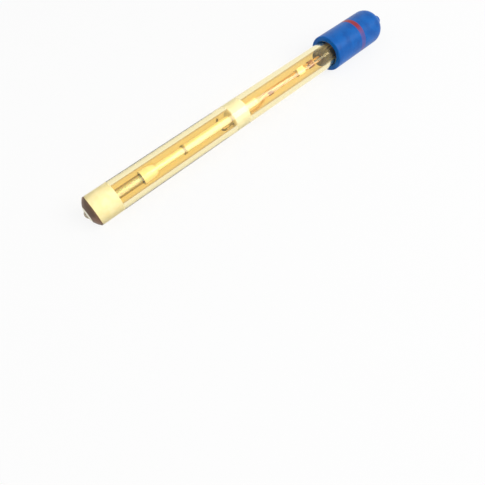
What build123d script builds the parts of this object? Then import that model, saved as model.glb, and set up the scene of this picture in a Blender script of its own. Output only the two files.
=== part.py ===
from build123d import *
import os
from math import radians, sqrt, tan

# A combination pH electrode lying on its side. The probe's axis is X, with the
# tip towards -X. The origin is on the axis, in the plane of the cap's open rim.
# All sizes are in millimetres.

# Barrel, 12 mm across
bore_diameter = 8.0
barrel_wall = 2.0
spigot_step = 0.3  # how much the radius drops where the barrel enters the cap
spigot_length = 16.5
ring_groove_depth = 0.85
ring_groove_width = 1.3
ring_groove_setback = 8.5  # from the spigot's end down to the groove
barrel_end_chamfer = 0.3

# Clearances
slip = 0.05  # radial, between a piece and the bore it is bonded or pressed in
gel_gap = 0.1  # between the cast gel and what it surrounds
lead_slip = 0.06  # radial, round a lead in its hole

# Tip
dome_height = 2.4
dome_land = 0.3  # straight edge below the dome
nose_diameter = 6.2  # the porous plug's nose, seen in the middle of the tip
membrane_rise = 0.5  # how far the glass stands out in front of the dome
membrane_wall = 0.35
plug_length = 9.3

# Glass stem and what it holds
stem_diameter = 3.8
stem_wall = 0.7
stem_setback = 1.5  # from the barrel's edge out to the stem's end, inside the dome
stem_bare_length = 10.8  # between the porous plug and the collar
stem_insertion = 3.6  # into the collar
stem_plug_length = 2.8
element_diameter = 0.6
element_setback = 7.0  # from the barrel's edge to the coated wire's end
element_tail = 2.2  # above the chamber plug, where the signal lead joins it

# Collar and tubes up the middle
collar_diameter = 5.5
collar_ledge = 0.8  # between the stem's end and the tube's end, inside the collar
collar_rim = 2.0  # straight part of the bell
collar_neck_wall = 0.45
tube_insertion = 1.6  # into the collar
inner_tube_diameter = 3.0
inner_tube_wall = 0.65
inner_tube_length = 12.7  # from the collar to the union
union_flange = 0.8
union_rim = 0.25  # how far the flange stands out past the wider tube
union_barb_length = 2.2
union_barb_wall = 0.25
carrier_diameter = 3.5
carrier_wall = 0.6
carrier_length = 22.3  # from the union to the chamber plug

# Chamber plug and lead sleeve
chamber_plug_length = 7.8
chamber_plug_chamfer = 0.35
socket_depth = 2.3
plug_core_diameter = 1.0
sleeve_diameter = 3.3
sleeve_wall = 0.6
sleeve_length = 6.6  # above the plug

# Reference wire, a hook that passes behind the carrier tube
hook_wire = 0.8
hook_corner = 0.8
hook_depth = 4.1  # below the chamber plug
hook_tail = 1.4  # above the chamber plug
front_turn = 124.0  # degrees about the axis from +Y to the side where the hook opens

# Leads above the chamber plug
lead_diameter = 0.9
lead_gap = 0.6  # between the two leads where they run side by side
lead_rise = 5.0  # length in which a lead swings to its place beside the axis
corner_share = 0.45  # how much of the shorter run beside it a lead's corner takes up
splice_wall = 0.34
splice_length = 2.2
splice_setback = 1.9  # above the end of the leads' swing
lead_run = 14.9  # between the splice and the bead
bead_wall = 0.34
bead_length = 3.7
bead_setback = 3.7  # below the solder sleeve
bead_edge = 0.3
solder_sleeve_wall = 0.35
solder_sleeve_length = 2.7
solder_sleeve_setback = 4.0  # below the potting

# Potting and lead ends in the cap
potting_depth = 5.6  # below the cap's rim
potting_setback = 2.5  # from the spigot's end down to the potting's top
potting_dish = 0.5
lead_tail = 5.0  # above the spigot's end
ferrule_wall = 0.2
ferrule_length = 4.5
ferrule_headroom = 2.2  # between the ferrules and the crown

# Cap
cap_wall = 2.45
cap_draft = 0.15  # how much the radius drops from the rim to the top
cap_shoulder_radius = 4.6
cap_top_flat = 0.6  # least width of the flat ring between the shoulder and the nub
cap_rim_fillet = 0.5
cap_mouth_chamfer = 0.45
cap_crown = 4.0  # thickness of the crown below its flat top
splice_room_ledge = 0.9  # the step in the bore that stops the barrel
nub_wall = 0.65
nub_length = 4.8
nub_foot_fillet = 0.6
nub_end_chamfer = 0.35
cable_bore_diameter = 3.0

# Radii
bore_r = bore_diameter / 2
barrel_r = bore_r + barrel_wall
spigot_r = barrel_r - spigot_step
stem_r = stem_diameter / 2
stem_bore_r = stem_r - stem_wall
element_r = element_diameter / 2
inner_tube_r = inner_tube_diameter / 2
inner_tube_bore_r = inner_tube_r - inner_tube_wall
carrier_r = carrier_diameter / 2
carrier_bore_r = carrier_r - carrier_wall
sleeve_r = sleeve_diameter / 2
hook_wire_r = hook_wire / 2
hook_radius = (carrier_r + bore_r - chamber_plug_chamfer) / 2  # mid way in the plug's wall
lead_r = lead_diameter / 2
lead_hole_r = lead_r + lead_slip
lead_pitch = lead_diameter + lead_gap
bead_side = lead_pitch + 2 * (lead_hole_r + bead_wall)
socket_r = spigot_r + slip
cap_r = socket_r + cap_wall
cable_bore_r = cable_bore_diameter / 2
nub_r = cable_bore_r + nub_wall

# Places along the axis, from the cap's rim down to the tip
potting_x = -potting_depth
solder_sleeve_x = potting_x - solder_sleeve_setback - solder_sleeve_length
bead_x = solder_sleeve_x - bead_setback - bead_length
splice_x = bead_x - lead_run - splice_length
swing_top_x = splice_x - splice_setback
sleeve_top_x = swing_top_x - lead_rise
chamber_top_x = sleeve_top_x - sleeve_length
chamber_x = chamber_top_x - chamber_plug_length
carrier_x = chamber_x - carrier_length
union_x = carrier_x - union_flange
collar_top_x = union_x - inner_tube_length
stem_top_x = collar_top_x - tube_insertion - collar_ledge
collar_x = stem_top_x - stem_insertion
plug_top_x = collar_x - stem_bare_length
tip_x = plug_top_x - plug_length
barrel_reach = -tip_x  # from the cap's rim to the edge of the tip
element_top_x = chamber_top_x + element_tail

# Places along the axis, from the cap's rim up to the nub
potting_top_x = spigot_length - potting_setback
lead_end_x = spigot_length + lead_tail
room_top_x = lead_end_x + ferrule_length + ferrule_headroom
cap_top_x = room_top_x + cap_crown
nub_top_x = cap_top_x + nub_length

# The tip's dome is part of a sphere
dome_base_r = barrel_r - slip
dome_radius = (dome_base_r**2 + dome_height**2) / (2 * dome_height)
dome_centre_x = tip_x - dome_land - dome_height + dome_radius
nose_r = nose_diameter / 2


def dome_x(radius):
    """Where the dome's surface is at this distance from the axis."""
    return dome_centre_x - sqrt(dome_radius**2 - radius**2)


def on_dome(radius):
    """The point of the dome's outline at this distance from the axis."""
    return dome_x(radius), radius


def across(x):
    """The plane across the probe at x, facing the cap."""
    return Plane.YZ.offset(x)


def turned(*outline):
    """Makes a solid by turning a closed outline of (x, radius) points about the axis."""
    with BuildPart() as solid:
        with BuildSketch(Plane.XY):
            with BuildLine():
                Polyline(*outline, close=True)
            make_face()
        revolve(axis=Axis.X)
    return solid.part


def wire(route, radius):
    """Sweeps a round wire along a route."""
    with BuildPart() as solid:
        with BuildSketch(Plane(origin=route @ 0, z_dir=route % 0)):
            Circle(radius)
        sweep(path=route)
    return solid.part


# The plane through the axis in which the leads lie. It faces the side where the
# reference hook opens, its x runs along the axis and its y across the probe.
front = Vector(1, 0, 0).rotate(Axis.Z, 90).rotate(Axis.X, front_turn)
lead_plane = Plane(origin=(0, 0, 0), x_dir=(1, 0, 0), z_dir=front)


def in_lead_plane(x, y, z=0):
    """The point at these places along, across and in front of the lead plane."""
    return lead_plane.from_local_coords(Vector(x, y, z))


def lead_section(x):
    """The plane across the probe at x, turned so that its x is the leads' y."""
    return Plane(origin=(x, 0, 0), x_dir=lead_plane.y_dir, z_dir=lead_plane.x_dir)


def lead_route(*points):
    """A lead's line in the lead plane, with each corner as round as its runs allow."""
    places = [in_lead_plane(*point) for point in points]
    radii = []
    for before, corner, after in zip(places, places[1:], places[2:]):
        turn = (corner - before).get_angle(after - corner)
        shorter = min((corner - before).length, (after - corner).length)
        radii.append(corner_share * shorter / tan(radians(turn / 2)))
    with BuildLine() as line:
        FilletPolyline(*places, radius=radii)
    return line.wire()


# Barrel, with the spigot and its ring groove
groove_floor_r = spigot_r - ring_groove_depth
ring_groove_x = spigot_length - ring_groove_setback - ring_groove_width
with BuildPart() as barrel:
    with BuildSketch(across(tip_x)):
        Circle(barrel_r)
    extrude(amount=barrel_reach)
    with BuildSketch(across(0)):
        Circle(spigot_r)
    extrude(amount=spigot_length)
    with BuildSketch(across(tip_x)):
        Circle(bore_r)
    extrude(amount=barrel_reach + spigot_length, mode=Mode.SUBTRACT)
    with BuildSketch(across(ring_groove_x)):
        Circle(spigot_r)
        Circle(groove_floor_r, mode=Mode.SUBTRACT)
    extrude(amount=ring_groove_width, mode=Mode.SUBTRACT)
    spigot_end = barrel.faces().filter_by(Axis.X).sort_by(Axis.X)[-1]
    chamfer(spigot_end.outer_wire().edges(), length=barrel_end_chamfer)
barrel.part.label = "barrel"

# Sealing ring in the spigot's groove
ring_section_r = (socket_r - groove_floor_r) / 2 - slip / 2
with BuildPart() as cap_seal:
    with BuildSketch(Plane.XY):
        with Locations((ring_groove_x + ring_groove_width / 2, (socket_r + groove_floor_r) / 2)):
            Circle(ring_section_r)
    revolve(axis=Axis.X)
cap_seal.part.label = "cap_seal"

# Dark domed ring that closes the tip
with BuildPart() as tip_seal:
    with BuildSketch(Plane.XY):
        with BuildLine():
            Polyline(
                on_dome(nose_r + slip),
                (tip_x, nose_r + slip),
                (tip_x, dome_base_r),
                on_dome(dome_base_r),
            )
            RadiusArc(on_dome(dome_base_r), on_dome(nose_r + slip), -dome_radius)
        make_face()
    revolve(axis=Axis.X)
tip_seal.part.label = "tip_seal"

# Porous plug, whose nose fills the ring and follows the dome
with BuildPart() as junction_plug:
    with BuildSketch(Plane.XY):
        with BuildLine():
            Polyline(
                on_dome(stem_r + slip),
                (plug_top_x, stem_r + slip),
                (plug_top_x, bore_r - slip),
                (tip_x, bore_r - slip),
                (tip_x, nose_r),
                on_dome(nose_r),
            )
            RadiusArc(on_dome(nose_r), on_dome(stem_r + slip), -dome_radius)
        make_face()
    revolve(axis=Axis.X)
junction_plug.part.label = "junction_plug"

# Glass stem
stem_end_x = tip_x - stem_setback
with BuildPart() as glass_stem:
    with BuildSketch(across(stem_end_x)):
        Circle(stem_r)
        Circle(stem_bore_r, mode=Mode.SUBTRACT)
    extrude(amount=stem_top_x - stem_end_x)
glass_stem.part.label = "glass_stem"

# Thin bulb of pH glass on the end of the stem
membrane_height = stem_end_x - (dome_x(0) - membrane_rise)
membrane_radius = (stem_r**2 + membrane_height**2) / (2 * membrane_height)
membrane_centre_x = stem_end_x - membrane_height + membrane_radius
with BuildPart() as sensing_membrane:
    with Locations((membrane_centre_x, 0, 0)):
        Sphere(membrane_radius)
        Sphere(membrane_radius - membrane_wall, mode=Mode.SUBTRACT)
    split(bisect_by=across(stem_end_x), keep=Keep.BOTTOM)
sensing_membrane.part.label = "sensing_membrane"

# Coated silver wire up the middle, from the stem's buffer to the signal lead
element_x = tip_x + element_setback
with BuildPart() as inner_element:
    with BuildSketch(across(element_x)):
        Circle(element_r)
    extrude(amount=element_top_x - element_x)
inner_element.part.label = "inner_element"

# Buffer fill in the stem
buffer_top_x = stem_top_x - stem_plug_length - slip
with BuildPart() as inner_buffer:
    with BuildSketch(across(stem_end_x)):
        Circle(stem_bore_r - slip)
    extrude(amount=buffer_top_x - stem_end_x)
    with BuildSketch(across(element_x - slip)):
        Circle(element_r + slip)
    extrude(amount=buffer_top_x - element_x + slip, mode=Mode.SUBTRACT)
inner_buffer.part.label = "inner_buffer"

# Soft plug that closes the stem round the wire
with BuildPart() as stem_seal:
    with BuildSketch(across(stem_top_x - stem_plug_length)):
        Circle(stem_bore_r - slip)
        Circle(element_r + slip, mode=Mode.SUBTRACT)
    extrude(amount=stem_plug_length)
stem_seal.part.label = "stem_seal"

# Bell-shaped collar that holds the stem below and the inner tube above
collar_r = collar_diameter / 2
collar_neck_r = inner_tube_r + slip + collar_neck_wall
with BuildPart() as stem_collar:
    with BuildSketch(Plane.XY):
        with BuildLine():
            Line((collar_x, 0), (collar_x, collar_r))
            rim = Line((collar_x, collar_r), (collar_x + collar_rim, collar_r))
            TangentArc(rim @ 1, (collar_top_x, collar_neck_r), tangent=rim % 1)
            Polyline((collar_top_x, collar_neck_r), (collar_top_x, 0), (collar_x, 0))
        make_face()
    revolve(axis=Axis.X)
    with BuildSketch(across(collar_x)):
        Circle(stem_r + slip)
    extrude(amount=stem_insertion, mode=Mode.SUBTRACT)
    with BuildSketch(across(collar_top_x)):
        Circle(inner_tube_r + slip)
    extrude(amount=-tube_insertion, mode=Mode.SUBTRACT)
    with BuildSketch(across(collar_x)):
        Circle(inner_tube_bore_r)
    extrude(amount=collar_top_x - collar_x, mode=Mode.SUBTRACT)
stem_collar.part.label = "stem_collar"

# Slim tube from the collar to the union
with BuildPart() as inner_tube:
    with BuildSketch(across(collar_top_x - tube_insertion)):
        Circle(inner_tube_r)
        Circle(inner_tube_bore_r, mode=Mode.SUBTRACT)
    extrude(amount=tube_insertion + inner_tube_length)
inner_tube.part.label = "inner_tube"

# Union: a flange with a barb into each tube
union_r = carrier_r + union_rim
union_bore_r = inner_tube_bore_r - slip - union_barb_wall
tube_union = turned(
    (union_x - union_barb_length, union_bore_r),
    (union_x - union_barb_length, inner_tube_bore_r - slip),
    (union_x, inner_tube_bore_r - slip),
    (union_x, union_r),
    (carrier_x, union_r),
    (carrier_x, carrier_bore_r - slip),
    (carrier_x + union_barb_length, carrier_bore_r - slip),
    (carrier_x + union_barb_length, union_bore_r),
)
tube_union.label = "tube_union"

# Wider tube from the union into the chamber plug
with BuildPart() as carrier_tube:
    with BuildSketch(across(carrier_x)):
        Circle(carrier_r)
        Circle(carrier_bore_r, mode=Mode.SUBTRACT)
    extrude(amount=carrier_length + socket_depth)
carrier_tube.part.label = "carrier_tube"

# Reference wire: a straight leg through the chamber plug, then a half turn that
# passes behind the carrier tube and comes forward on its other side
hook_x = chamber_x - hook_depth
hook_top_x = chamber_top_x + hook_tail


def hook_route(reach):
    """The reference wire's line, ending this far in front of the lead plane."""
    leg_top = in_lead_plane(hook_top_x, -hook_radius, hook_corner)
    leg_end = in_lead_plane(hook_x + hook_corner, -hook_radius, hook_corner)
    turn_start = in_lead_plane(hook_x, -hook_radius)
    turn_middle = in_lead_plane(hook_x, 0, -hook_radius)
    turn_end = in_lead_plane(hook_x, hook_radius)
    with BuildLine() as line:
        leg = Line(leg_top, leg_end)
        TangentArc(leg_end, turn_start, tangent=leg % 1)
        ThreePointArc(turn_start, turn_middle, turn_end)
        Line(turn_end, in_lead_plane(hook_x, hook_radius, reach))
    return line.wire()


reference_element = wire(hook_route(hook_corner), hook_wire_r)
reference_element.label = "reference_element"

# Gel cast round the stem, collar, tubes and wire, between the two plugs
gel_bottom_x = plug_top_x + gel_gap
gel_top_x = chamber_x - gel_gap
gel_hollow = turned(
    (gel_bottom_x, 0),
    (gel_bottom_x, stem_r + gel_gap),
    (collar_x - gel_gap, stem_r + gel_gap),
    (collar_x - gel_gap, collar_r + gel_gap),
    (collar_top_x + gel_gap, collar_r + gel_gap),
    (collar_top_x + gel_gap, inner_tube_r + gel_gap),
    (union_x - gel_gap, inner_tube_r + gel_gap),
    (union_x - gel_gap, union_r + gel_gap),
    (carrier_x + gel_gap, union_r + gel_gap),
    (carrier_x + gel_gap, carrier_r + gel_gap),
    (gel_top_x, carrier_r + gel_gap),
    (gel_top_x, 0),
)
with BuildPart() as electrolyte_gel:
    with BuildSketch(across(gel_bottom_x)):
        Circle(bore_r - gel_gap)
    extrude(amount=gel_top_x - gel_bottom_x)
    add(gel_hollow, mode=Mode.SUBTRACT)
    add(wire(hook_route(hook_corner + gel_gap), hook_wire_r + gel_gap), mode=Mode.SUBTRACT)
electrolyte_gel.part.label = "electrolyte_gel"

# Chamber plug, with a socket at each end and a hole for the reference wire
with BuildPart() as chamber_plug:
    with BuildSketch(across(chamber_x)):
        Circle(bore_r - slip)
    extrude(amount=chamber_plug_length)
    chamfer(chamber_plug.edges().filter_by(GeomType.CIRCLE), length=chamber_plug_chamfer)
    with BuildSketch(across(chamber_x)):
        Circle(carrier_r + slip)
    extrude(amount=socket_depth, mode=Mode.SUBTRACT)
    with BuildSketch(across(chamber_top_x)):
        Circle(sleeve_r + slip)
    extrude(amount=-socket_depth, mode=Mode.SUBTRACT)
    with BuildSketch(across(chamber_x)):
        Circle(plug_core_diameter / 2)
    extrude(amount=chamber_plug_length, mode=Mode.SUBTRACT)
    with BuildSketch(lead_section(chamber_x)):
        with Locations((-hook_radius, hook_corner)):
            Circle(hook_wire_r + lead_slip)
    extrude(amount=chamber_plug_length, mode=Mode.SUBTRACT)
chamber_plug.part.label = "chamber_plug"

# Sleeve that stands in the plug round the start of the signal lead
with BuildPart() as lead_sleeve:
    with BuildSketch(across(chamber_top_x - socket_depth)):
        Circle(sleeve_r)
        Circle(sleeve_r - sleeve_wall, mode=Mode.SUBTRACT)
    extrude(amount=socket_depth + sleeve_length)
lead_sleeve.part.label = "lead_sleeve"

# The two leads run side by side into the cap
signal_y = lead_pitch / 2
reference_y = -lead_pitch / 2
signal_route = lead_route(
    (element_top_x, 0),
    (sleeve_top_x, 0),
    (swing_top_x, signal_y),
    (lead_end_x, signal_y),
)
signal_lead = wire(signal_route, lead_r)
signal_lead.label = "signal_lead"

reference_route = lead_route(
    (hook_top_x, -hook_radius, hook_corner),
    (sleeve_top_x, -hook_radius, hook_corner),
    (swing_top_x, reference_y),
    (lead_end_x, reference_y),
)
reference_lead = wire(reference_route, lead_r)
reference_lead.label = "reference_lead"

# Soldered splice in the reference lead, under a dark sleeve
with BuildPart() as lead_splice:
    with BuildSketch(lead_section(splice_x)):
        with Locations((reference_y, 0)):
            Circle(lead_hole_r + splice_wall)
            Circle(lead_hole_r, mode=Mode.SUBTRACT)
    extrude(amount=splice_length)
lead_splice.part.label = "lead_splice"

# Square bead that keeps the leads apart
with BuildPart() as spacer_bead:
    with BuildSketch(lead_section(bead_x)):
        RectangleRounded(bead_side, bead_side, bead_edge)
        with Locations((signal_y, 0), (reference_y, 0)):
            Circle(lead_hole_r, mode=Mode.SUBTRACT)
    extrude(amount=bead_length)
spacer_bead.part.label = "spacer_bead"

# Flat sleeve over the soldered joints
with BuildPart() as solder_sleeve:
    with BuildSketch(lead_section(solder_sleeve_x)):
        SlotCenterToCenter(lead_pitch, 2 * (lead_hole_r + solder_sleeve_wall))
        with Locations((signal_y, 0), (reference_y, 0)):
            Circle(lead_hole_r, mode=Mode.SUBTRACT)
    extrude(amount=solder_sleeve_length)
solder_sleeve.part.label = "solder_sleeve"

# Potting that closes the barrel's upper end, dished by its meniscus
potting_r = bore_r - slip
with BuildPart() as barrel_potting:
    with BuildSketch(Plane.XY):
        with BuildLine():
            ThreePointArc(
                (potting_x, -potting_r),
                (potting_x + potting_dish, 0),
                (potting_x, potting_r),
            )
            Polyline(
                (potting_x, potting_r),
                (potting_top_x, potting_r),
                (potting_top_x, -potting_r),
                (potting_x, -potting_r),
            )
        make_face()
        split(bisect_by=Plane.XZ, keep=Keep.TOP)
    revolve(axis=Axis.X)
    with BuildSketch(lead_section(potting_x)):
        with Locations((signal_y, 0), (reference_y, 0)):
            Circle(lead_hole_r)
    extrude(amount=potting_top_x - potting_x, mode=Mode.SUBTRACT)
barrel_potting.part.label = "barrel_potting"


def ferrule(label, offset):
    """Makes the ferrule that a cable core joins, butted on a lead's end."""
    with BuildPart() as tube:
        with BuildSketch(lead_section(lead_end_x)):
            with Locations((offset, 0)):
                Circle(lead_r + ferrule_wall)
        extrude(amount=ferrule_length)
    tube.part.label = label
    return tube.part


signal_ferrule = ferrule("signal_ferrule", signal_y)
reference_ferrule = ferrule("reference_ferrule", reference_y)

# Cap: one blue moulding with a socket, a room for the joints and a cable nub
room_r = socket_r - splice_room_ledge
mouth_r = socket_r + cap_mouth_chamfer
top_r = cap_r - cap_draft
shoulder_r = min(cap_shoulder_radius, top_r - nub_r - nub_foot_fillet - cap_top_flat)
with BuildPart() as cap:
    with BuildSketch(Plane.XY):
        with BuildLine():
            FilletPolyline(
                (0, mouth_r),
                (0, cap_r),
                (cap_top_x, top_r),
                (cap_top_x, nub_r),
                (nub_top_x - nub_end_chamfer, nub_r),
                radius=[cap_rim_fillet, shoulder_r, nub_foot_fillet],
            )
            Polyline(
                (nub_top_x - nub_end_chamfer, nub_r),
                (nub_top_x, nub_r - nub_end_chamfer),
                (nub_top_x, cable_bore_r),
                (room_top_x, cable_bore_r),
                (room_top_x, room_r),
                (spigot_length, room_r),
                (spigot_length, socket_r),
                (cap_mouth_chamfer, socket_r),
                (0, mouth_r),
            )
        make_face()
    revolve(axis=Axis.X)
cap.part.label = "cap"

pieces = [
    barrel.part,
    cap_seal.part,
    tip_seal.part,
    junction_plug.part,
    glass_stem.part,
    sensing_membrane.part,
    inner_element.part,
    inner_buffer.part,
    stem_seal.part,
    stem_collar.part,
    inner_tube.part,
    tube_union,
    carrier_tube.part,
    reference_element,
    electrolyte_gel.part,
    chamber_plug.part,
    lead_sleeve.part,
    signal_lead,
    reference_lead,
    lead_splice.part,
    spacer_bead.part,
    solder_sleeve.part,
    barrel_potting.part,
    signal_ferrule,
    reference_ferrule,
    cap.part,
]

os.makedirs("parts", exist_ok=True)
for piece in pieces:
    export_step(piece, f"parts/{piece.label}.step")
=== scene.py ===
"""Dresses a combination pH electrode: an amber barrel with its inner parts in view, and a blue cap.

The probe lies on its side along X, with the tip towards -X and the cap towards +X.
The origin is on the axis, in the plane of the cap's open rim. Lengths are in metres.
"""

from __future__ import annotations

import logging
import math
from dataclasses import dataclass
from enum import Enum
from typing import Sequence

import bmesh
import bpy
from mathutils import Matrix, Vector

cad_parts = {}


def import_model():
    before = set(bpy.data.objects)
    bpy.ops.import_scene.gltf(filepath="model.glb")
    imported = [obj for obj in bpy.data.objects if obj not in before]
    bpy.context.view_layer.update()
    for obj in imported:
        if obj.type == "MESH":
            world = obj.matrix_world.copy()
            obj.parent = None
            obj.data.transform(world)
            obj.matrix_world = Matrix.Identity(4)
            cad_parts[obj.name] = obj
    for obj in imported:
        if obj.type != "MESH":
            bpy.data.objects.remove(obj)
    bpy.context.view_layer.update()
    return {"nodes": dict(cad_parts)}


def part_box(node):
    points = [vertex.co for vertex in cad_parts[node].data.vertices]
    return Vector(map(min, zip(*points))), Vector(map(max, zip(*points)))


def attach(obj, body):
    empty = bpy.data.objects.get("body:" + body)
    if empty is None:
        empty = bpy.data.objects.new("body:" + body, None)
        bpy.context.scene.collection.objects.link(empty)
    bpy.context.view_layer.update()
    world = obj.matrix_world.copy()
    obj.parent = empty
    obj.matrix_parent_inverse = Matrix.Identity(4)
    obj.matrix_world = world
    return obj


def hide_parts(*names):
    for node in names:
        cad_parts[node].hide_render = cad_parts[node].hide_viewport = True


LOG = logging.getLogger("ph_electrode")
MM = 0.001
BODY = "root"
WELD_DISTANCE = 0.0001 * MM
SLIVER_LENGTH = 0.00001 * MM
LATHE_WELD = 0.0005 * MM
QUARTER_TURN = math.radians(90.0)
EVEN_FACING = 0.5
MIX_FIRST_COLOUR = 6
MIX_SECOND_COLOUR = 7
MIX_COLOUR_RESULT = 2
Colour = tuple[float, float, float]
Triple = tuple[float, float, float]
Point = tuple[float, float]
WHITE: Colour = (1.0, 1.0, 1.0)


class Slot(Enum):
    """The material slots that the part's record names."""

    AMBER_TUBE = "amber_tube"
    DARK_EPOXY = "dark_epoxy"
    POROUS_WHITE = "porous_white"
    CLEAR_GLASS = "clear_glass"
    BUFFER_FILL = "buffer_fill"
    CLEAR_GEL = "clear_gel"
    SILVER_WIRE = "silver_wire"
    WHITE_BUSH = "white_bush"
    PALE_TUBE = "pale_tube"
    GREY_UNION = "grey_union"
    LEAD_SHEATH = "lead_sheath"
    SOLDER_COVER = "solder_cover"
    DARK_POTTING = "dark_potting"
    BLACK_RUBBER = "black_rubber"
    TINNED_COPPER = "tinned_copper"
    BLUE_CAP = "blue_cap"


class Graph:
    """A material's node tree, filled one node at a time."""

    def __init__(self, name: str) -> None:
        """Starts an empty material.

        Args:
            name: the record slot that the material is for, or the name of a finish in the studio.
        """
        self.material = bpy.data.materials.new(name + "_finish")
        self.material["slot"] = name
        self.material.use_nodes = True
        self.tree = self.material.node_tree
        self.tree.nodes.clear()
        self.output = self.add("ShaderNodeOutputMaterial")

    def add(self, kind: str, **settings: object) -> bpy.types.Node:
        """Adds a node.

        Args:
            kind: the node's type name.
            **settings: properties of the node.

        Returns:
            The new node.
        """
        node = self.tree.nodes.new(kind)
        for name, value in settings.items():
            setattr(node, name, value)
        return node

    def feed(self, node: bpy.types.Node, socket: str | int, source: object) -> None:
        """Sets an input to a constant, or links it to another node's output.

        Args:
            node: the node that takes the input.
            socket: the input's name or number.
            source: a number, a colour or an output socket.
        """
        target = node.inputs[socket]
        if isinstance(source, bpy.types.NodeSocket):
            self.tree.links.new(source, target)
        elif isinstance(source, tuple) and target.type == "RGBA":
            target.default_value = (*source, 1.0)
        else:
            target.default_value = source

    def shader(self, kind: str, **inputs: object) -> bpy.types.Node:
        """Adds a shader with its inputs set.

        Args:
            kind: the shader's type name.
            **inputs: values by socket name, with underscores for spaces.

        Returns:
            The shader's node.
        """
        node = self.add(kind)
        for name, value in inputs.items():
            self.feed(node, name.replace("_", " "), value)
        return node

    def point(self, scale: Sequence[float] = (1.0, 1.0, 1.0)) -> bpy.types.NodeSocket:
        """Reads the surface point in object coordinates.

        Args:
            scale: the factor on each axis, below 1 where a pattern is drawn out.

        Returns:
            The scaled point's output.
        """
        coordinates = self.add("ShaderNodeTexCoord")
        mapping = self.add("ShaderNodeMapping")
        self.feed(mapping, "Vector", coordinates.outputs["Object"])
        mapping.inputs["Scale"].default_value = scale
        return mapping.outputs["Vector"]

    def axis_parts(self) -> tuple[bpy.types.NodeSocket, ...]:
        """Reads the surface point's X, Y and Z in object coordinates.

        Returns:
            The three outputs.
        """
        split = self.add("ShaderNodeSeparateXYZ")
        self.feed(split, "Vector", self.point())
        return tuple(split.outputs)

    def radius(self) -> bpy.types.NodeSocket:
        """Reads the surface point's distance from the probe's axis.

        Returns:
            The distance's output, in metres.
        """
        length = self.add("ShaderNodeVectorMath", operation="LENGTH")
        self.feed(length, 0, self.point((0.0, 1.0, 1.0)))
        return length.outputs["Value"]

    def math(self, operation: str, first: object, second: object = 0.0) -> bpy.types.NodeSocket:
        """Works out one sum.

        Args:
            operation: the Math node's operation.
            first: a number or an output.
            second: a number or an output, where the operation takes two.

        Returns:
            The result's output.
        """
        node = self.add("ShaderNodeMath", operation=operation)
        self.feed(node, 0, first)
        self.feed(node, 1, second)
        return node.outputs[0]

    def noise(
        self, vector: bpy.types.NodeSocket, scale: float, detail: float = 2.0
    ) -> bpy.types.NodeSocket:
        """Adds a noise pattern.

        Args:
            vector: the point's output.
            scale: how many spots fit in a metre, roughly.
            detail: how many finer layers it has.

        Returns:
            The noise's output, from 0 to 1.
        """
        node = self.add("ShaderNodeTexNoise")
        self.feed(node, "Vector", vector)
        node.inputs["Scale"].default_value = scale
        node.inputs["Detail"].default_value = detail
        return node.outputs["Fac"]

    def ease(self, value: object, low: float, high: float) -> bpy.types.NodeSocket:
        """Makes a smooth step.

        Args:
            value: a number or an output.
            low: the value up to which the step is 0.
            high: the value from which the step is 1.

        Returns:
            The step's output.
        """
        node = self.add("ShaderNodeMapRange", interpolation_type="SMOOTHSTEP")
        self.feed(node, "Value", value)
        node.inputs["From Min"].default_value = low
        node.inputs["From Max"].default_value = high
        return node.outputs["Result"]

    def grazing(self, start: float, full: float) -> bpy.types.NodeSocket:
        """Makes a smooth step on how edge on the surface is met.

        Args:
            start: the share up to which the step is 0, where 0 is square on.
            full: the share from which the step is 1, where 1 is edge on.

        Returns:
            The step's output.
        """
        weight = self.add("ShaderNodeLayerWeight")
        weight.inputs["Blend"].default_value = EVEN_FACING
        return self.ease(weight.outputs["Facing"], start, full)

    def blend(self, factor: object, first: object, second: object) -> bpy.types.NodeSocket:
        """Mixes two colours.

        Args:
            factor: a number or an output, 0 for the first colour and 1 for the second.
            first: a colour or an output.
            second: a colour or an output.

        Returns:
            The mixed colour's output.
        """
        node = self.add("ShaderNodeMix", data_type="RGBA")
        self.feed(node, 0, factor)
        self.feed(node, MIX_FIRST_COLOUR, first)
        self.feed(node, MIX_SECOND_COLOUR, second)
        return node.outputs[MIX_COLOUR_RESULT]

    def bump(self, height: bpy.types.NodeSocket, depth: float) -> bpy.types.NodeSocket:
        """Makes a bumped normal.

        Args:
            height: an output from 0 to 1.
            depth: the depth of the full height, in metres.

        Returns:
            The normal's output.
        """
        node = self.add("ShaderNodeBump")
        self.feed(node, "Height", height)
        node.inputs["Strength"].default_value = 1.0
        node.inputs["Distance"].default_value = depth
        return node.outputs["Normal"]

    def finish(self, surface: bpy.types.Node, volume: bpy.types.Node | None = None) -> bpy.types.Material:
        """Wires the output.

        Args:
            surface: the surface shader.
            volume: the volume shader, where the piece has one.

        Returns:
            The finished material.
        """
        self.tree.links.new(surface.outputs[0], self.output.inputs["Surface"])
        if volume is not None:
            self.tree.links.new(volume.outputs[0], self.output.inputs["Volume"])
        return self.material

    def let_lamps_through(self, surface: bpy.types.Node, tint: Colour) -> bpy.types.Node:
        """Lets lamp light pass a clear piece with a tint, so that what is inside is lit.

        Args:
            surface: the clear surface shader.
            tint: the colour that the passing light takes.

        Returns:
            The mixed shader.
        """
        path = self.add("ShaderNodeLightPath")
        clear = self.shader("ShaderNodeBsdfTransparent", Color=tint)
        mix = self.add("ShaderNodeMixShader")
        self.feed(mix, 0, path.outputs["Is Shadow Ray"])
        self.tree.links.new(surface.outputs[0], mix.inputs[1])
        self.tree.links.new(clear.outputs[0], mix.inputs[2])
        return mix


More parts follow.
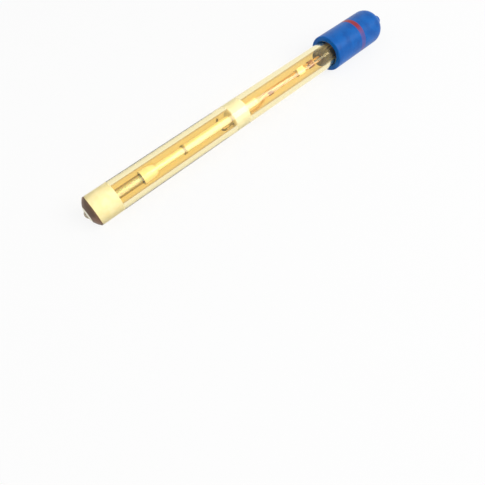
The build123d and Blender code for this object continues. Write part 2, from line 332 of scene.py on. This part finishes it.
@dataclass(frozen=True)
class AmberTube:
    """See-through amber plastic: pale in its thickness and deeper in colour at the bore, with painted light
    and shade on the bore: painted pale on the near wall, deeper amber with painted shade on the far wall,
    and a painted dark line where the bore is seen edge on.
    """

    ior: float = 1.5
    roughness: float = 0.015
    skin: Colour = (0.995, 0.955, 0.82)
    # Painted light and shade on the bore: the near wall's tint is painted pale, and the far wall's tint is
    # the tube's own amber deepened by painted shade of the floor beneath.
    near_wall_painted_light: Colour = (0.998, 0.99, 0.92)
    far_wall_amber_and_shade: Colour = (0.93, 0.52, 0.10)
    # Painted shade: dark brown for the dark lines along the bore where it is seen edge on.
    bore_edge_painted_shade: Colour = (0.36, 0.15, 0.015)
    bore_radius: float = 4.0 * MM
    skin_start: float = 0.3 * MM
    skin_full: float = 0.8 * MM
    edge_start: float = 0.36
    edge_full: float = 0.74
    absorbed: Colour = (0.99, 0.93, 0.62)
    density: float = 220.0
    lamp_tint: Colour = (0.998, 0.985, 0.93)

    def make(self) -> bpy.types.Material:
        """Builds the material.

        Returns:
            The material, which knows its record slot.
        """
        graph = Graph(Slot.AMBER_TUBE.value)
        # Painted shade: where the bore is seen edge on its tint turns dark brown, for the dark lines along
        # the bore's edges.
        grazing = graph.grazing(self.edge_start, self.edge_full)
        # Painted light and shade: the bore is painted pale where the ray leaves the near wall, and deeper
        # amber with painted shade on the far wall.
        leaving = graph.add("ShaderNodeNewGeometry").outputs["Backfacing"]
        far_wall_shaded = graph.blend(grazing, self.far_wall_amber_and_shade, self.bore_edge_painted_shade)
        bore = graph.blend(leaving, far_wall_shaded, self.near_wall_painted_light)
        outside = graph.ease(
            graph.radius(), self.bore_radius + self.skin_start, self.bore_radius + self.skin_full
        )
        glass = graph.shader(
            "ShaderNodeBsdfPrincipled",
            Base_Color=graph.blend(outside, bore, self.skin),
            Roughness=self.roughness,
            IOR=self.ior,
            Transmission_Weight=1.0,
        )
        volume = graph.shader("ShaderNodeVolumeAbsorption", Color=self.absorbed, Density=self.density)
        return graph.finish(graph.let_lamps_through(glass, self.lamp_tint), volume)


@dataclass(frozen=True)
class ClearFill:
    """A clear fill or glass with an even tint, with painted shade where it is seen edge on, for the dark
    lines at its edges.
    """

    slot: Slot
    tint: Colour
    # Painted shade colour, used where the surface is seen edge on.
    edge: Colour
    ior: float
    roughness: float = 0.0
    edge_start: float = 0.5
    edge_full: float = 1.0
    lamp_tint: Colour = (0.99, 0.98, 0.96)

    def make(self) -> bpy.types.Material:
        """Builds the material.

        Returns:
            The material, which knows its record slot.
        """
        graph = Graph(self.slot.value)
        # Painted shade: the tint turns to the edge colour where the surface is seen edge on.
        grazing = graph.grazing(self.edge_start, self.edge_full)
        glass = graph.shader(
            "ShaderNodeBsdfPrincipled",
            Base_Color=graph.blend(grazing, self.tint, self.edge),
            Roughness=self.roughness,
            IOR=self.ior,
            Transmission_Weight=1.0,
        )
        return graph.finish(graph.let_lamps_through(glass, self.lamp_tint))


@dataclass(frozen=True)
class Moulded:
    """Opaque plastic or resin with a soft mottle and a fine grain."""

    slot: Slot
    light: Colour
    dark: Colour
    roughness: float = 0.4
    mottle: float = 300.0
    mottle_detail: float = 3.0
    mottle_start: float = 0.35
    mottle_full: float = 0.65
    stretch: Triple = (1.0, 1.0, 1.0)
    glow: float = 0.0
    glow_reach: float = 1.0 * MM
    specular: float = 0.3
    grain_ratio: float = 8.0
    grain_depth: float = 0.01 * MM

    def make(self) -> bpy.types.Material:
        """Builds the material.

        Returns:
            The material, which knows its record slot.
        """
        graph = Graph(self.slot.value)
        point = graph.point(self.stretch)
        cloud = graph.noise(point, self.mottle, self.mottle_detail)
        patches = graph.ease(cloud, self.mottle_start, self.mottle_full)
        body = graph.shader(
            "ShaderNodeBsdfPrincipled",
            Base_Color=graph.blend(patches, self.light, self.dark),
            Roughness=self.roughness,
            Normal=graph.bump(graph.noise(point, self.mottle * self.grain_ratio), self.grain_depth),
            Subsurface_Weight=self.glow,
            Subsurface_Scale=self.glow_reach,
            Specular_IOR_Level=self.specular,
        )
        return graph.finish(body)


@dataclass(frozen=True)
class DullMetal:
    """Drawn or coated metal with fine draw lines along its length."""

    slot: Slot
    light: Colour
    dark: Colour
    roughness: float = 0.45
    metallic: float = 0.85
    lines: float = 2500.0
    line_detail: float = 3.0
    line_start: float = 0.3
    line_full: float = 0.7
    line_depth: float = 0.01 * MM
    stretch: Triple = (0.05, 1.0, 1.0)

    def make(self) -> bpy.types.Material:
        """Builds the material.

        Returns:
            The material, which knows its record slot.
        """
        graph = Graph(self.slot.value)
        streaks = graph.noise(graph.point(self.stretch), self.lines, self.line_detail)
        drawn = graph.ease(streaks, self.line_start, self.line_full)
        metal = graph.shader(
            "ShaderNodeBsdfPrincipled",
            Base_Color=graph.blend(drawn, self.light, self.dark),
            Metallic=self.metallic,
            Roughness=self.roughness,
            Normal=graph.bump(streaks, self.line_depth),
        )
        return graph.finish(metal)


@dataclass(frozen=True)
class CapPlastic:
    """Blue moulded plastic with one red ring printed on it, fading out on the side towards -Y."""

    blue: Colour = (0.0, 0.130, 0.500)
    deep: Colour = (0.0, 0.095, 0.400)
    red: Colour = (0.34, 0.030, 0.045)
    ring_x: float = 17.0 * MM
    ring_half: float = 1.0 * MM
    ring_blur: float = 0.35 * MM
    ring_wander: float = 0.25 * MM
    wander_scale: float = 900.0
    inside_radius: float = 5.6 * MM
    outside_radius: float = 6.6 * MM
    fade_start: float = 1.5 * MM
    fade_end: float = 7.0 * MM
    fade_share: float = 0.75
    cloud_scale: float = 220.0
    cloud_start: float = 0.35
    cloud_full: float = 0.7
    grain_scale: float = 3200.0
    grain_depth: float = 0.012 * MM
    roughness: float = 0.34
    specular: float = 0.2

    def make(self) -> bpy.types.Material:
        """Builds the material.

        Returns:
            The material, which knows its record slot.
        """
        graph = Graph(Slot.BLUE_CAP.value)
        along, across, _ = graph.axis_parts()
        cloud = graph.ease(graph.noise(graph.point(), self.cloud_scale), self.cloud_start, self.cloud_full)
        plastic = graph.blend(cloud, self.blue, self.deep)
        wander = graph.math("MULTIPLY", graph.noise(graph.point(), self.wander_scale), self.ring_wander)
        offset = graph.math("SUBTRACT", graph.math("ADD", along, wander), self.ring_x)
        away = graph.math("ABSOLUTE", offset)
        off_ring = graph.ease(away, self.ring_half, self.ring_half + self.ring_blur)
        outer = graph.ease(graph.radius(), self.inside_radius, self.outside_radius)
        inside = graph.math("SUBTRACT", 1.0, outer)
        # The printed ring fades out on the side towards -Y.
        fade_towards_minus_y = graph.ease(graph.math("MULTIPLY", across, -1.0), self.fade_start, self.fade_end)
        faded = graph.math("MAXIMUM", off_ring, graph.math("MULTIPLY", fade_towards_minus_y, self.fade_share))
        bare = graph.math("MAXIMUM", faded, inside)
        body = graph.shader(
            "ShaderNodeBsdfPrincipled",
            Base_Color=graph.blend(bare, self.red, plastic),
            Roughness=self.roughness,
            Normal=graph.bump(graph.noise(graph.point(), self.grain_scale), self.grain_depth),
            Specular_IOR_Level=self.specular,
        )
        return graph.finish(body)


@dataclass(frozen=True)
class ResinPotting:
    """Dark cast resin with pale streaks drawn along the bore, and pale yellow-green blots that are a
    painted highlight.
    """

    dark: Colour = (0.055, 0.050, 0.018)
    streak: Colour = (0.30, 0.27, 0.10)
    # Painted highlight colour for the pale blots on the resin.
    highlight_patch: Colour = (0.55, 0.55, 0.25)
    streak_stretch: Triple = (0.12, 1.0, 1.0)
    streak_scale: float = 900.0
    streak_detail: float = 3.0
    streak_start: float = 0.5
    streak_full: float = 0.7
    patch_stretch: Triple = (0.5, 1.0, 1.0)
    patch_scale: float = 260.0
    patch_detail: float = 1.0
    patch_start: float = 0.6
    patch_full: float = 0.72
    roughness: float = 0.25

    def make(self) -> bpy.types.Material:
        """Builds the material.

        Returns:
            The material, which knows its record slot.
        """
        graph = Graph(Slot.DARK_POTTING.value)
        drawn = graph.noise(graph.point(self.streak_stretch), self.streak_scale, self.streak_detail)
        lines = graph.ease(drawn, self.streak_start, self.streak_full)
        # Painted highlight: pale yellow-green blots laid over the dark resin.
        cloud = graph.noise(graph.point(self.patch_stretch), self.patch_scale, self.patch_detail)
        highlight_blots = graph.ease(cloud, self.patch_start, self.patch_full)
        colour = graph.blend(highlight_blots, graph.blend(lines, self.dark, self.streak), self.highlight_patch)
        resin = graph.shader("ShaderNodeBsdfPrincipled", Base_Color=colour, Roughness=self.roughness)
        return graph.finish(resin)


def link(mesh: bpy.types.Mesh, name: str) -> bpy.types.Object:
    """Puts a mesh in the scene as an object at the origin.

    Args:
        mesh: the mesh.
        name: the object's name.

    Returns:
        The object.
    """
    piece = bpy.data.objects.new(name, mesh)
    bpy.context.scene.collection.objects.link(piece)
    return piece


def smooth_copy(source: bpy.types.Object, name: str, sharp: float = 32.0) -> bpy.types.Object:
    """Copies a CAD node, joins its loose triangles and shades its round faces smooth.

    Args:
        source: the CAD node's object.
        name: the new piece's name.
        sharp: the angle in degrees from which an edge stays sharp.

    Returns:
        The new piece.
    """
    mesh = bpy.data.meshes.new(name)
    shape = bmesh.new()
    shape.from_mesh(source.data)
    bmesh.ops.remove_doubles(shape, verts=shape.verts, dist=WELD_DISTANCE)
    bmesh.ops.dissolve_degenerate(shape, edges=shape.edges, dist=SLIVER_LENGTH)
    shape.to_mesh(mesh)
    shape.free()
    for layer in [a for a in mesh.attributes if a.name == "custom_normal"]:
        mesh.attributes.remove(layer)
    mesh.shade_smooth()
    mesh.set_sharp_from_angle(angle=math.radians(sharp))
    return link(mesh, name)


def lathe_tree() -> bpy.types.GeometryNodeTree:
    """Builds the tree that turns an outline about the X axis.

    Returns:
        The tree, with inputs for the pivot radius, the segments and the material.
    """
    tree = bpy.data.node_groups.new("lathe", "GeometryNodeTree")
    face = tree.interface
    face.new_socket("Outline", in_out="INPUT", socket_type="NodeSocketGeometry")
    face.new_socket("Pivot Radius", in_out="INPUT", socket_type="NodeSocketFloat")
    face.new_socket("Segments", in_out="INPUT", socket_type="NodeSocketInt")
    face.new_socket("Finish", in_out="INPUT", socket_type="NodeSocketMaterial")
    face.new_socket("Piece", in_out="OUTPUT", socket_type="NodeSocketGeometry")
    add = tree.nodes.new
    given = add("NodeGroupInput")
    result = add("NodeGroupOutput")
    circle = add("GeometryNodeCurvePrimitiveCircle")
    sweep = add("GeometryNodeCurveToMesh")
    turn = add("GeometryNodeTransform")
    weld = add("GeometryNodeMergeByDistance")
    smooth = add("GeometryNodeSetShadeSmooth")
    realize = add("GeometryNodeRealizeInstances")
    coat = add("GeometryNodeSetMaterial")
    turn.inputs["Rotation"].default_value = (0.0, QUARTER_TURN, 0.0)
    weld.inputs["Distance"].default_value = LATHE_WELD
    join = tree.links.new
    join(given.outputs["Pivot Radius"], circle.inputs["Radius"])
    join(given.outputs["Segments"], circle.inputs["Resolution"])
    join(circle.outputs["Curve"], sweep.inputs["Curve"])
    join(given.outputs["Outline"], sweep.inputs["Profile Curve"])
    join(sweep.outputs["Mesh"], turn.inputs["Geometry"])
    join(turn.outputs["Geometry"], weld.inputs["Geometry"])
    join(weld.outputs["Geometry"], smooth.inputs["Geometry"])
    join(smooth.outputs["Geometry"], realize.inputs["Geometry"])
    join(realize.outputs["Geometry"], coat.inputs["Geometry"])
    join(given.outputs["Finish"], coat.inputs["Material"])
    join(coat.outputs["Geometry"], result.inputs["Piece"])
    return tree


def socket_id(tree: bpy.types.GeometryNodeTree, name: str) -> str:
    """The identifier of a tree's named input."""
    inputs = [item for item in tree.interface.items_tree if item.in_out == "INPUT"]
    return next(item.identifier for item in inputs if item.name == name)


def rounded(points: Sequence[Point], radii: Sequence[float], steps: int = 6) -> list[Point]:
    """Rounds the corners of a closed outline.

    Args:
        points: the corners as (x, radius).
        radii: each corner's rounding, 0 for a sharp one.
        steps: the straight pieces in each rounding.

    Returns:
        The outline with its roundings as short straight pieces.
    """
    result: list[Point] = []
    for index, (point, radius) in enumerate(zip(points, radii)):
        corner = Vector(point)
        before = (Vector(points[index - 1]) - corner).normalized()
        after = (Vector(points[(index + 1) % len(points)]) - corner).normalized()
        if radius <= 0.0:
            result.append((corner.x, corner.y))
            continue
        half = before.angle(after) / 2.0
        reach = radius / math.tan(half)
        centre = corner + (before + after).normalized() * (radius / math.sin(half))
        start = corner + before * reach - centre
        end = corner + after * reach - centre
        sweep = start.angle_signed(end)
        for step in range(steps + 1):
            arm = Matrix.Rotation(-sweep * step / steps, 2) @ start
            result.append((centre.x + arm.x, centre.y + arm.y))
    return result


def turned(
    name: str, outline: Sequence[Point], material: bpy.types.Material, segments: int, sharp: float = 24.0
) -> bpy.types.Object:
    """Turns a closed outline about the axis with the lathe tree.

    Args:
        name: the piece's name.
        outline: the corners as (x, radius).
        material: the piece's finish.
        segments: how many steps make a full turn.
        sharp: the angle in degrees from which an edge stays sharp.

    Returns:
        The finished piece.
    """
    pivot = max(radius for _, radius in outline)
    curve = bpy.data.curves.new(name + "_outline", "CURVE")
    curve.dimensions = "3D"
    line = curve.splines.new("POLY")
    line.points.add(len(outline) - 1)
    for place, (x, radius) in zip(line.points, outline):
        place.co = (radius - pivot, -x, 0.0, 1.0)
    line.use_cyclic_u = True
    holder = bpy.data.objects.new(name + "_outline", curve)
    bpy.context.scene.collection.objects.link(holder)
    tree = bpy.data.node_groups.get("lathe") or lathe_tree()
    modifier = holder.modifiers.new("Lathe", "NODES")
    modifier.node_group = tree
    modifier[socket_id(tree, "Pivot Radius")] = pivot
    modifier[socket_id(tree, "Segments")] = segments
    modifier[socket_id(tree, "Finish")] = material
    holder.update_tag()
    graph = bpy.context.evaluated_depsgraph_get()
    mesh = bpy.data.meshes.new_from_object(holder.evaluated_get(graph), depsgraph=graph)
    bpy.data.objects.remove(holder)
    bpy.data.curves.remove(curve)
    shape = bmesh.new()
    shape.from_mesh(mesh)
    bmesh.ops.recalc_face_normals(shape, faces=shape.faces)
    shape.to_mesh(mesh)
    shape.free()
    mesh.name = name
    mesh.shade_smooth()
    mesh.set_sharp_from_angle(angle=math.radians(sharp))
    return link(mesh, name)


@dataclass
class Dresser:
    """Puts finishes on the pieces that stand for the CAD nodes.

    The side of a piece that is bonded to the bore lies between side_from and side_to in CAD.
    It is drawn at bonded_radius, 0.02 mm past the bore's 4.0 mm, so that the tube shows it
    without the gap that the CAD solids need.
    """

    nodes: dict[str, bpy.types.Object]
    side_from: float = 3.9 * MM
    side_to: float = 4.0 * MM
    bonded_radius: float = 4.02 * MM

    def stand_in(
        self, piece: bpy.types.Object, node: str, material: bpy.types.Material
    ) -> bpy.types.Object:
        """Lets a piece stand for a CAD node, in one finish.

        Args:
            piece: the new piece, in place.
            node: the CAD node that it replaces.
            material: its finish, which knows its record slot.

        Returns:
            The same piece.
        """
        piece.data.materials.clear()
        piece.data.materials.append(material)
        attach(piece, BODY)
        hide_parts(node)
        faces = len(piece.data.polygons)
        LOG.info("%s stands for %s in %s, %d faces", piece.name, node, material["slot"], faces)
        return piece

    def refine(
        self, node: str, material: bpy.types.Material, wets_bore: bool = False
    ) -> bpy.types.Object:
        """Makes a smooth copy of a CAD node stand for it.

        Args:
            node: the CAD node.
            material: its finish, which knows its record slot.
            wets_bore: whether its side is bonded to the bore, and drawn at bonded_radius.

        Returns:
            The new piece.
        """
        piece = smooth_copy(self.nodes[node], node + "_skin")
        if wets_bore:
            for vertex in piece.data.vertices:
                radius = math.hypot(vertex.co.y, vertex.co.z)
                if self.side_from < radius < self.side_to:
                    vertex.co.y *= self.bonded_radius / radius
                    vertex.co.z *= self.bonded_radius / radius
        return self.stand_in(piece, node, material)


@dataclass
class Barrel:
    """The see-through tube, with the spigot that the cap fits over."""

    dresser: Dresser
    bore_radius: float = 4.0 * MM
    spigot_radius: float = 5.7 * MM
    groove_depth: float = 0.85 * MM
    groove_low: float = 6.7 * MM
    groove_width: float = 1.3 * MM
    tip_round: float = 0.25 * MM
    bore_round: float = 0.1 * MM
    step_round: float = 0.1 * MM
    spigot_round: float = 0.3 * MM
    segments: int = 256

    def build(self, material: bpy.types.Material) -> bpy.types.Object:
        """Turns the tube with softened edges.

        Args:
            material: the tube's finish.

        Returns:
            The tube.
        """
        low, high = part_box("barrel")
        outer = high.z
        groove_high = self.groove_low + self.groove_width
        floor = self.spigot_radius - self.groove_depth
        corners = [
            ((low.x, self.bore_radius), self.bore_round),
            ((low.x, outer), self.tip_round),
            ((0.0, outer), self.step_round),
            ((0.0, self.spigot_radius), 0.0),
            ((self.groove_low, self.spigot_radius), 0.0),
            ((self.groove_low, floor), 0.0),
            ((groove_high, floor), 0.0),
            ((groove_high, self.spigot_radius), 0.0),
            ((high.x, self.spigot_radius), self.spigot_round),
            ((high.x, self.bore_radius), 0.0),
        ]
        points, radii = zip(*corners)
        tube = turned("barrel_tube", rounded(points, radii), material, self.segments)
        return self.dresser.stand_in(tube, "barrel", material)


@dataclass
class Tip:
    """The domed ring, the porous plug and the glass at the tip."""

    dresser: Dresser

    def dress(self) -> None:
        """Gives the tip's pieces their finishes."""
        epoxy = Moulded(
            Slot.DARK_EPOXY,
            light=(0.210, 0.110, 0.062),
            dark=(0.110, 0.062, 0.036),
            roughness=0.45,
            mottle=260.0,
        )
        porous = Moulded(
            Slot.POROUS_WHITE,
            light=(0.97, 0.94, 0.80),
            dark=(0.93, 0.88, 0.68),
            roughness=0.6,
            mottle=500.0,
            grain_depth=0.03 * MM,
        )
        glass = ClearFill(
            Slot.CLEAR_GLASS,
            tint=(0.93, 0.92, 0.86),
            # The glass's edge colour is painted shade, for the dark slots beside the stem.
            edge=(0.13, 0.075, 0.02),
            ior=1.45,
            edge_start=0.12,
            edge_full=0.55,
        )
        self.dresser.refine("tip_seal", epoxy.make())
        self.dresser.refine("junction_plug", porous.make(), wets_bore=True)
        clear = glass.make()
        self.dresser.refine("glass_stem", clear)
        self.dresser.refine("sensing_membrane", clear)


@dataclass
class Core:
    """The stem's fill, the collar and the tubes up to the chamber plug."""

    dresser: Dresser

    def dress(self) -> None:
        """Gives the inner pieces their finishes."""
        buffer = Moulded(
            Slot.BUFFER_FILL, light=(0.96, 0.95, 0.90), dark=(0.93, 0.91, 0.84), roughness=0.3, glow=0.3
        )
        bush = Moulded(
            Slot.WHITE_BUSH, light=(0.98, 0.97, 0.88), dark=(0.95, 0.93, 0.80), roughness=0.38, mottle=260.0
        )
        tube = Moulded(
            Slot.PALE_TUBE,
            light=(0.94, 0.91, 0.76),
            dark=(0.90, 0.86, 0.66),
            roughness=0.42,
            mottle=240.0,
            stretch=(0.15, 1.0, 1.0),
            glow=0.2,
        )
        union = Moulded(
            Slot.GREY_UNION, light=(0.40, 0.35, 0.20), dark=(0.28, 0.24, 0.13), roughness=0.5
        )
        silver = DullMetal(Slot.SILVER_WIRE, light=(0.44, 0.38, 0.24), dark=(0.24, 0.20, 0.12))
        # The gel's edge colour is painted shade, for the dark lines at its boundaries.
        gel = ClearFill(Slot.CLEAR_GEL, tint=(0.995, 0.97, 0.86), edge=(0.90, 0.80, 0.50), ior=1.01)
        self.dresser.refine("inner_buffer", buffer.make())
        white = bush.make()
        for node in ("stem_seal", "stem_collar"):
            self.dresser.refine(node, white)
        self.dresser.refine("chamber_plug", white, wets_bore=True)
        pale = tube.make()
        for node in ("inner_tube", "carrier_tube", "lead_sleeve"):
            self.dresser.refine(node, pale)
        self.dresser.refine("tube_union", union.make())
        metal = silver.make()
        for node in ("inner_element", "reference_element"):
            self.dresser.refine(node, metal)
        self.dresser.refine("electrolyte_gel", gel.make())


@dataclass
class Leads:
    """The leads with what is on them, the potting that they pass, and the cap's sealing ring."""

    dresser: Dresser

    def dress(self) -> None:
        """Gives the leads' pieces their finishes."""
        sheath = Moulded(
            Slot.LEAD_SHEATH,
            light=(0.66, 0.42, 0.14),
            dark=(0.52, 0.31, 0.09),
            roughness=0.45,
            mottle=400.0,
            stretch=(0.2, 1.0, 1.0),
        )
        cover = Moulded(
            Slot.SOLDER_COVER, light=(0.34, 0.15, 0.05), dark=(0.24, 0.10, 0.03), roughness=0.3
        )
        bead = Moulded(Slot.POROUS_WHITE, light=(0.97, 0.94, 0.70), dark=(0.94, 0.90, 0.60), glow=0.2)
        copper = DullMetal(
            Slot.TINNED_COPPER, light=(0.72, 0.68, 0.60), dark=(0.58, 0.54, 0.46), roughness=0.35
        )
        rubber = Moulded(
            Slot.BLACK_RUBBER,
            light=(0.03, 0.03, 0.03),
            dark=(0.02, 0.02, 0.02),
            roughness=0.55,
            mottle=500.0,
        )
        lead = sheath.make()
        for node in ("signal_lead", "reference_lead"):
            self.dresser.refine(node, lead)
        dark = cover.make()
        for node in ("lead_splice", "solder_sleeve"):
            self.dresser.refine(node, dark)
        self.dresser.refine("spacer_bead", bead.make())
        self.dresser.refine("barrel_potting", ResinPotting().make())
        crimp = copper.make()
        for node in ("signal_ferrule", "reference_ferrule"):
            self.dresser.refine(node, crimp)
        self.dresser.refine("cap_seal", rubber.make())


@dataclass
class Cap:
    """The blue moulding with its cable nub."""

    dresser: Dresser

    def dress(self) -> None:
        """Gives the cap its finish."""
        self.dresser.refine("cap", CapPlastic().make())


@dataclass
class Studio:
    """The floor, the lamps, the surroundings and the camera.

    The floor runs through the tip's lower edge and the lowest point of the cap's rounded rim,
    which is a little way in from the rim's plane.
    """

    camera_place: Triple = (-128.95 * MM, -86.56 * MM, 127.76 * MM)
    azimuth: float = -42.14
    elevation: float = 55.64
    focal_share: float = 0.870
    shift_up: float = -0.15
    sensor: float = 36.0
    clip_near: float = 1.0 * MM
    clip_far: float = 20.0
    floor_size: float = 6.0
    floor_white: Colour = (0.93, 0.93, 0.93)
    floor_glow: float = 0.85
    rim_contact_x: float = 0.5 * MM
    ambient: float = 0.48
    probe_middle: Triple = (-42.0 * MM, 0.0, 0.0)
    key_place: Triple = (0.25, -0.42, 0.50)
    key_size: float = 0.45
    key_power: float = 2.8
    fill_place: Triple = (-0.45, 0.10, 0.45)
    fill_size: float = 0.5
    fill_power: float = 0.7

    def surroundings(self) -> None:
        """Makes an even world that looks white to the camera and in glass."""
        world = bpy.data.worlds.new("surroundings")
        bpy.context.scene.world = world
        world.use_nodes = True
        tree = world.node_tree
        tree.nodes.clear()
        path = tree.nodes.new("ShaderNodeLightPath")
        seen = tree.nodes.new("ShaderNodeMath")
        seen.operation = "MAXIMUM"
        also = tree.nodes.new("ShaderNodeMath")
        also.operation = "MAXIMUM"
        strength = tree.nodes.new("ShaderNodeMapRange")
        strength.inputs["To Min"].default_value = self.ambient
        strength.inputs["To Max"].default_value = 1.0
        glow = tree.nodes.new("ShaderNodeBackground")
        glow.inputs["Color"].default_value = (*WHITE, 1.0)
        output = tree.nodes.new("ShaderNodeOutputWorld")
        tree.links.new(path.outputs["Is Camera Ray"], seen.inputs[0])
        tree.links.new(path.outputs["Is Glossy Ray"], seen.inputs[1])
        tree.links.new(seen.outputs[0], also.inputs[0])
        tree.links.new(path.outputs["Is Transmission Ray"], also.inputs[1])
        tree.links.new(also.outputs[0], strength.inputs["Value"])
        tree.links.new(strength.outputs["Result"], glow.inputs["Strength"])
        tree.links.new(glow.outputs[0], output.inputs["Surface"])

    def floor(self) -> None:
        """Lays the pale floor under the cap's rim and the tip's edge, on which the probe rests."""
        cap_low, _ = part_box("cap")
        barrel_low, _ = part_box("barrel")
        slope = (cap_low.z - barrel_low.z) / (self.rim_contact_x - barrel_low.x)
        half = self.floor_size / 2.0
        corners = [(-half, -half), (half, -half), (half, half), (-half, half)]
        heights = [barrel_low.z + slope * (x - barrel_low.x) for x, _ in corners]
        mesh = bpy.data.meshes.new("floor")
        mesh.from_pydata([(x, y, z) for (x, y), z in zip(corners, heights)], [], [(0, 1, 2, 3)])
        ground = link(mesh, "floor")
        graph = Graph("floor_paper")
        paper = graph.shader("ShaderNodeBsdfDiffuse", Color=self.floor_white)
        white = graph.shader("ShaderNodeEmission", Color=WHITE, Strength=1.0)
        path = graph.add("ShaderNodeLightPath")
        seen = graph.math("MAXIMUM", path.outputs["Is Camera Ray"], path.outputs["Is Glossy Ray"])
        mix = graph.add("ShaderNodeMixShader")
        graph.feed(mix, 0, graph.math("MULTIPLY", seen, self.floor_glow))
        graph.tree.links.new(paper.outputs[0], mix.inputs[1])
        graph.tree.links.new(white.outputs[0], mix.inputs[2])
        mesh.materials.append(graph.finish(mix))

    def lamp(self, name: str, place: Triple, size: float, power: float) -> None:
        """Hangs one soft square lamp, turned towards the middle of the probe.

        Args:
            name: the lamp's name.
            place: where it hangs, in metres.
            size: the length of its side, in metres.
            power: its power in watts.
        """
        data = bpy.data.lights.new(name, "AREA")
        data.shape = "SQUARE"
        data.size = size
        data.energy = power
        lamp = bpy.data.objects.new(name, data)
        lamp.location = place
        aim = Vector(self.probe_middle) - Vector(place)
        lamp.rotation_euler = aim.to_track_quat("-Z", "Y").to_euler()
        bpy.context.scene.collection.objects.link(lamp)

    def camera(self) -> None:
        """Sets the camera at the photograph's viewing angle."""
        data = bpy.data.cameras.new("camera")
        data.sensor_width = self.sensor
        data.lens = self.focal_share * self.sensor
        data.shift_y = self.shift_up
        data.clip_start = self.clip_near
        data.clip_end = self.clip_far
        camera = bpy.data.objects.new("camera", data)
        across = math.radians(self.azimuth)
        up = math.radians(self.elevation)
        back = Vector((math.sin(across) * math.cos(up), -math.cos(across) * math.cos(up), math.sin(up)))
        camera.location = self.camera_place
        camera.rotation_euler = (-back).to_track_quat("-Z", "Y").to_euler()
        bpy.context.scene.collection.objects.link(camera)
        bpy.context.scene.camera = camera

    def build(self) -> None:
        """Sets up everything that isn't the probe."""
        bpy.context.scene.view_settings.view_transform = "Standard"
        self.camera()
        self.surroundings()
        self.floor()
        self.lamp("key_lamp", self.key_place, self.key_size, self.key_power)
        self.lamp("fill_lamp", self.fill_place, self.fill_size, self.fill_power)


def main() -> None:
    """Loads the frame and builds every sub-assembly in order."""
    logging.basicConfig(level=logging.INFO, format="%(name)s: %(message)s")
    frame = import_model()
    Studio().build()
    dresser = Dresser(frame["nodes"])
    Barrel(dresser).build(AmberTube().make())
    Tip(dresser).dress()
    Core(dresser).dress()
    Leads(dresser).dress()
    Cap(dresser).dress()
    LOG.info("boxes written, camera and %d nodes dressed", len(frame["nodes"]))


if __name__ == "__main__":
    main()
